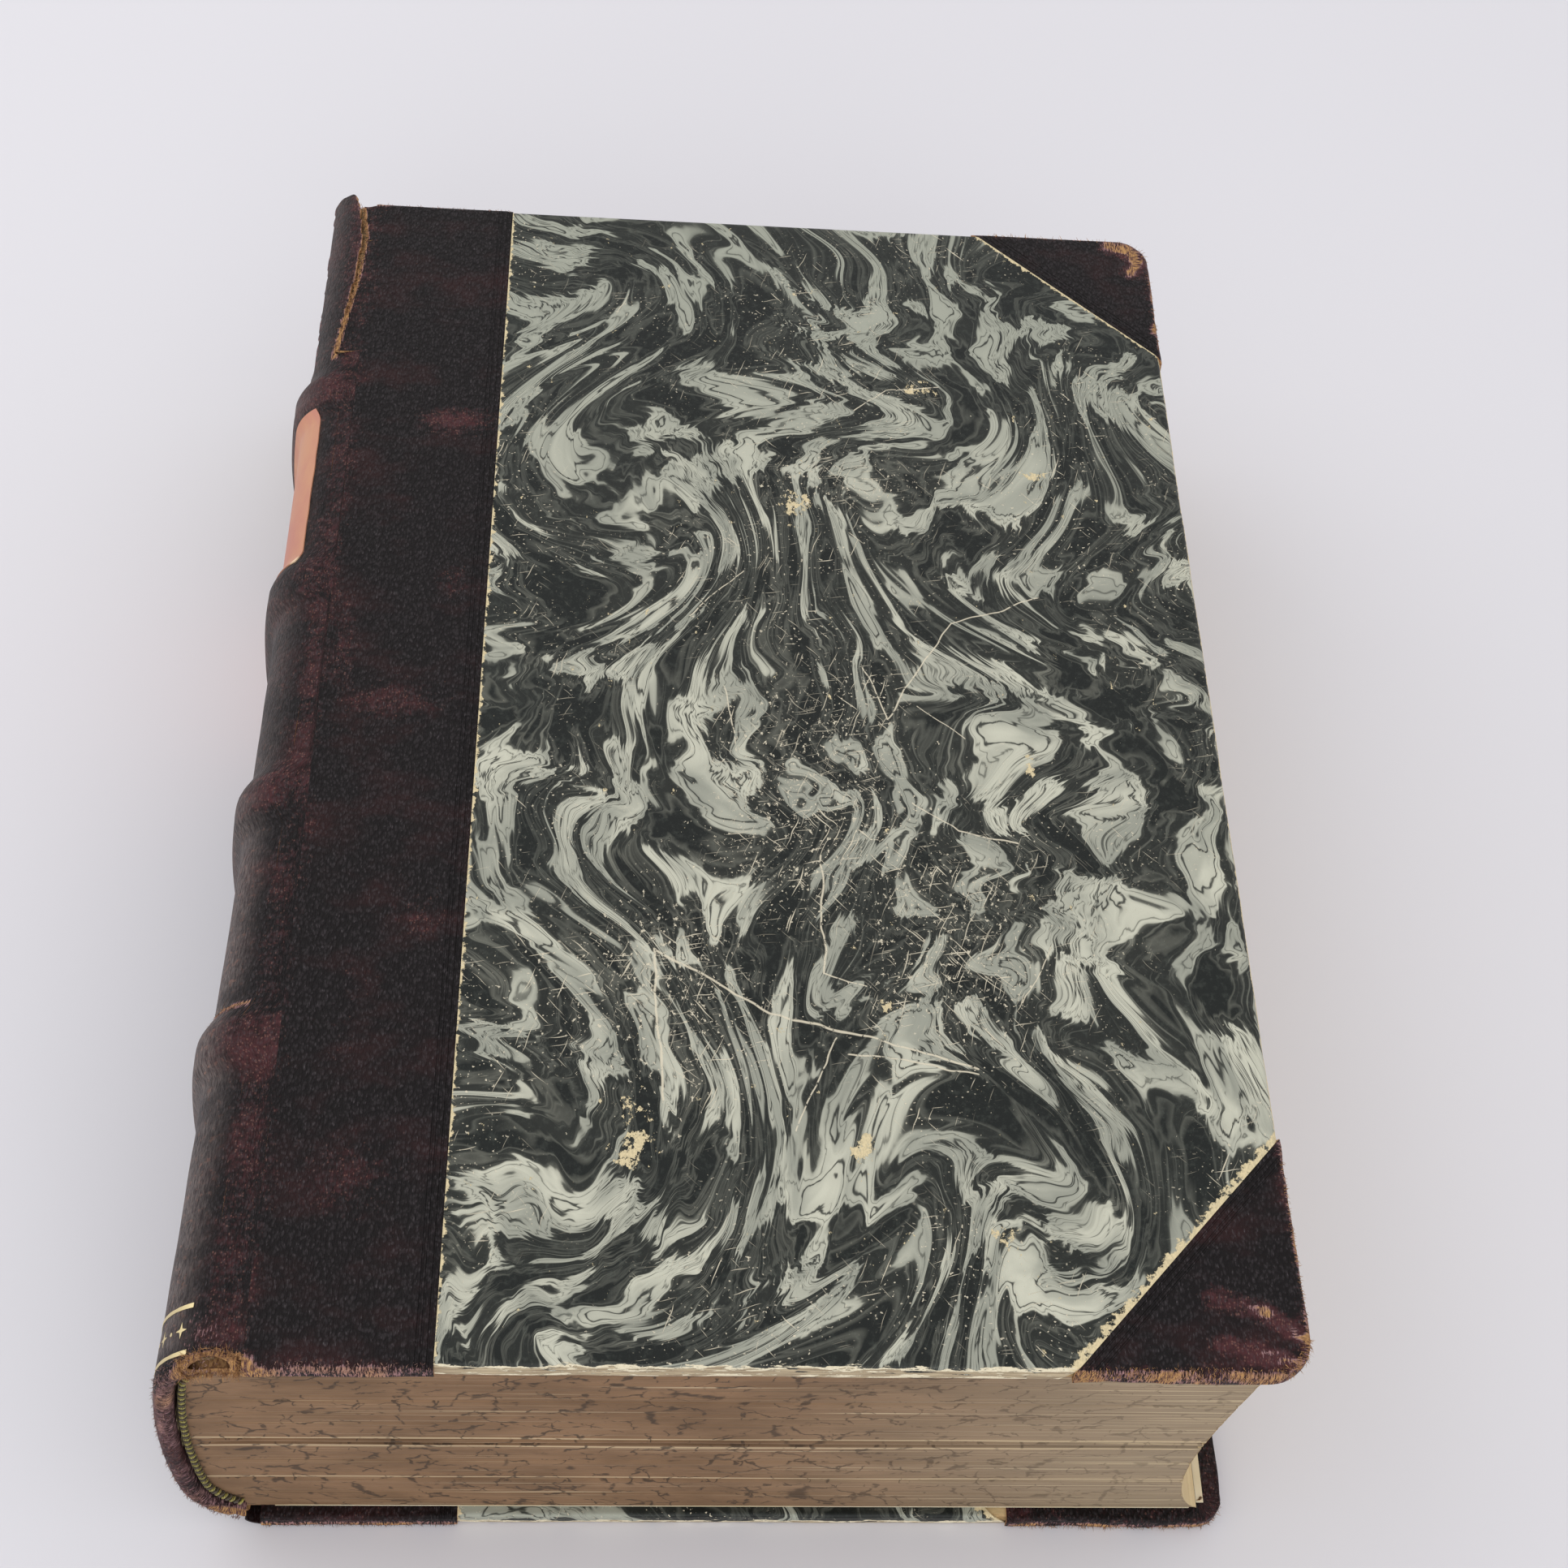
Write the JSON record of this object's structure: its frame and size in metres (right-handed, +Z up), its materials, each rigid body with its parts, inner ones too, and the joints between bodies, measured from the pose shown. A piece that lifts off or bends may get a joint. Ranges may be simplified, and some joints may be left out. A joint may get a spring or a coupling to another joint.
{
  "type": "antique leather book",
  "caption": "Thick old half-leather book lying shut: marbled paper sides, leather corners, round spine with raised bands and a title label, torn open at the spine's head.",
  "frame": {"origin": "centre of the back cover's outer face, on which the book lies", "axes": "+X from the spine towards the fore-edge, +Y from the tail towards the head, +Z up from the back cover to the front cover"},
  "size_m": [0.1722, 0.2535, 0.06],
  "materials": {
    "dark_leather": "pebbled goat leather, nearly black, rubbed to red brown and tan at its edges",
    "label_leather": "smooth thin leather, faded orange to pink",
    "marbled_paper": "hand-marbled paper in black green and grey green, scuffed to cream",
    "pages": "cut page edges, browned, with faded marbling",
    "endpaper": "plain matt paper, yellowed",
    "board": "pasted board, bare and tan where the paper is worn away",
    "liner_card": "dull brown card with torn edges",
    "lining_cloth": "open cotton weave under glue and paper",
    "tape": "flat linen tape",
    "headband_silk": "stitched thread in stripes of yellow green and brown",
    "gold_leaf": "thin gold leaf pressed into leather, rubbed"
  },
  "bodies": {
    "back_cover": {"back_board": "board", "back_leather_side": "dark_leather", "back_head_corner": "dark_leather", "back_tail_corner": "dark_leather", "back_paper_side": "marbled_paper", "back_pastedown": "endpaper"},
    "book_block": {"text_block": "pages", "front_flyleaf": "endpaper", "back_flyleaf": "endpaper", "spine_lining": "lining_cloth", "head_band": "headband_silk", "tail_band": "headband_silk", "spine_liner": "liner_card", "spine_leather": "dark_leather", "title_label": "label_leather", "low_gold_line": "gold_leaf", "high_gold_line": "gold_leaf", "sewing_tape_1": "tape", "sewing_tape_2": "tape", "sewing_tape_3": "tape", "sewing_tape_4": "tape", "raised_band_1": "liner_card", "raised_band_2": "liner_card", "raised_band_3": "liner_card", "raised_band_4": "liner_card"},
    "front_cover": {"front_board": "board", "front_leather_side": "dark_leather", "front_head_corner": "dark_leather", "front_tail_corner": "dark_leather", "front_paper_side": "marbled_paper", "front_pastedown": "endpaper"}
  },
  "joints": [
    {"name": "back_cover_hinge", "type": "hinge", "parent": "back_cover", "child": "book_block", "pos_m": [-0.0798, 0, 0], "axis": [0, 1, 0], "range_deg": [-90, 0]},
    {"name": "front_cover_hinge", "type": "hinge", "parent": "book_block", "child": "front_cover", "pos_m": [-0.0776, 0, 0.06], "axis": [0, -1, 0], "range_deg": [0, 180]}
  ]
}
